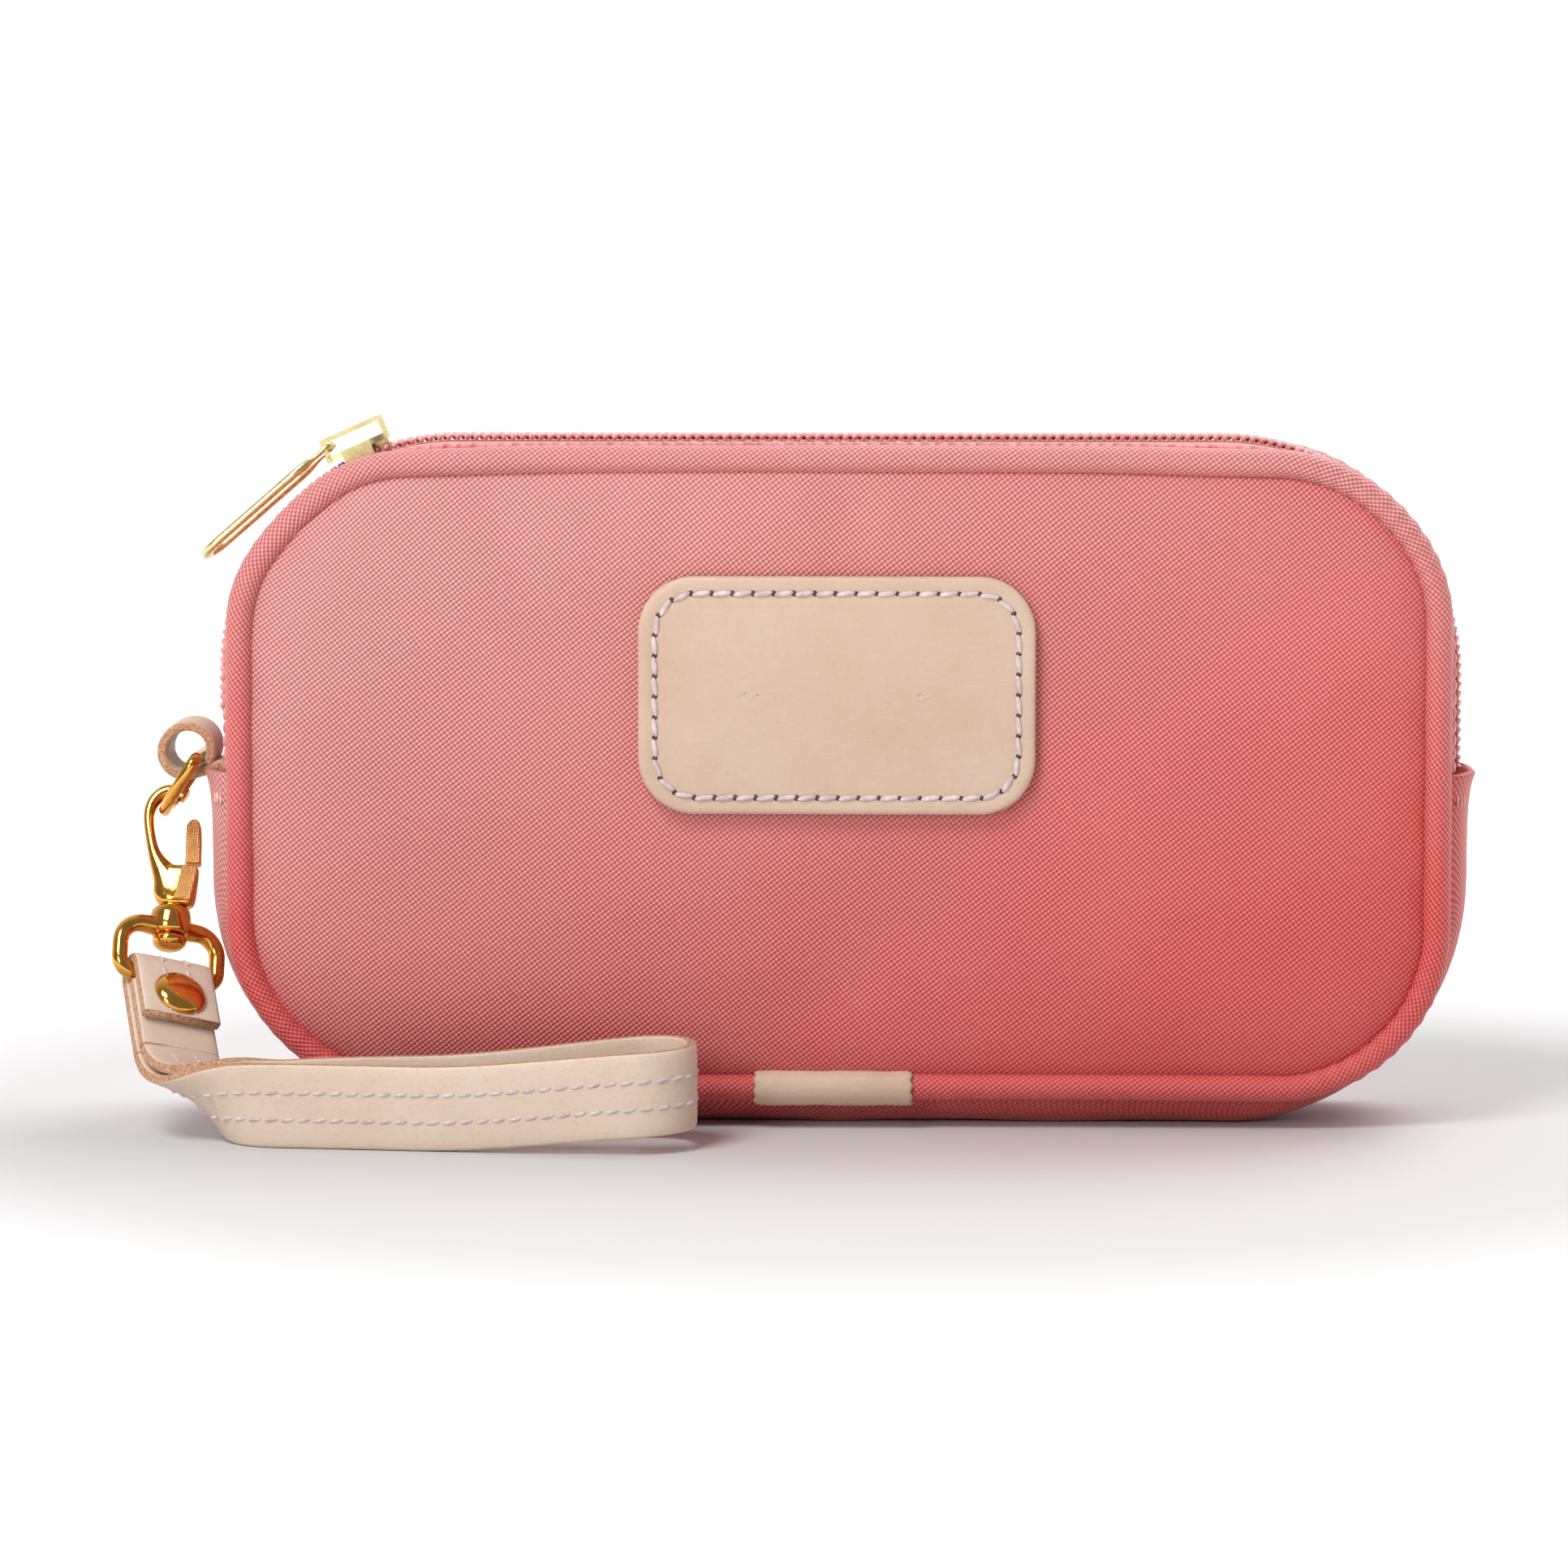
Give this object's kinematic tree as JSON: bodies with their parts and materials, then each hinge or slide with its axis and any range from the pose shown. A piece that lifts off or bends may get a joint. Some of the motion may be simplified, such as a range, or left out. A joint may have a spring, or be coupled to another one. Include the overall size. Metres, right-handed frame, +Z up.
{
  "type": "wristlet wallet",
  "caption": "Zipped pouch with piped edges, a leather name patch and a leather wrist strap on a swivel snap hook.",
  "frame": {"origin": "centre of the flat underside that the pouch stands on", "axes": "+X to the right along the pouch, front panel towards -Y, +Z up"},
  "size_m": [0.2193, 0.0681, 0.1145],
  "materials": {
    "canvas": "coated canvas, satin",
    "piping": "coated canvas, satin",
    "zip_tape": "woven tape",
    "zip_coil": "nylon coil",
    "cord": "cotton cord",
    "lining": "woven nylon",
    "leather": "vegetable tanned, undyed",
    "gold": "polished gold plate",
    "pale_gold": "polished pale gold plate",
    "spring_steel": "spring steel"
  },
  "bodies": {
    "bag": {"front_panel": "canvas", "back_panel": "canvas", "bottom_gusset": "canvas", "zip_tape_front": "zip_tape", "zip_tape_back": "zip_tape", "zip_coil_front": "zip_coil", "zip_coil_back": "zip_coil", "front_piping_cover": "piping", "back_piping_cover": "piping", "front_piping_cord": "cord", "back_piping_cord": "cord", "piping_wrap": "leather", "back_piping_wrap": "leather", "front_seam_binding": "lining", "back_seam_binding": "lining", "lining_front": "lining", "lining_back": "lining", "lining_gusset": "lining", "card_pocket": "lining", "name_patch": "leather", "ring_tab": "leather", "strap_twist_near": "leather", "strap_twist_far": "leather", "strap_loop": "leather"},
    "slider": {"slider_body": "pale_gold", "slider_bridge": "pale_gold"},
    "pull": {"pull_tab": "pale_gold"},
    "ring": {"d_ring": "gold"},
    "clasp": {"swivel_eye": "gold", "strap_end": "leather", "strap_tail": "leather", "rivet_cap": "gold", "rivet_post": "gold"},
    "hook": {"hook_body": "gold", "gate_pin": "gold", "gate_spring": "spring_steel", "swivel_stem": "gold"},
    "gate": {"gate": "gold"}
  },
  "joints": [
    {"name": "zip_travel", "type": "hinge", "parent": "bag", "child": "slider", "pos_m": [-0.062, 0, 0.0725], "axis": [0, 1, 0], "range_deg": [-25, 22]},
    {"name": "pull_swing", "type": "hinge", "parent": "slider", "child": "pull", "pos_m": [-0.08273, 0, 0.10947], "axis": [0, 1, 0], "range_deg": [0, 135]},
    {"name": "clasp_swing", "type": "hinge", "parent": "bag", "child": "clasp", "pos_m": [-0.1044, 0, 0.0589], "axis": [0, 1, 0], "range_deg": [0, 32], "deforming": ["strap_twist_near", "strap_twist_far", "strap_loop"]},
    {"name": "ring_swing", "type": "hinge", "parent": "bag", "child": "ring", "pos_m": [-0.1044, 0, 0.0589], "axis": [0, 1, 0], "range_deg": [0, 32]},
    {"name": "hook_swivel", "type": "hinge", "parent": "clasp", "child": "hook", "pos_m": [-0.1086, 0.0014, 0.0529], "axis": [0, 0.4695, 0.8829], "range_deg": [-10, 10]},
    {"name": "gate_open", "type": "hinge", "parent": "hook", "child": "gate", "pos_m": [-0.1057, -0.00635, 0.03833], "axis": [0, -0.8829, 0.4695], "range_deg": [0, 16], "stiffness_Nm_per_rad": 0.02, "springref_deg": -17.19}
  ],
  "couplings": [
    {"joint": "ring_swing", "follows": "clasp_swing", "ratio": 1}
  ]
}
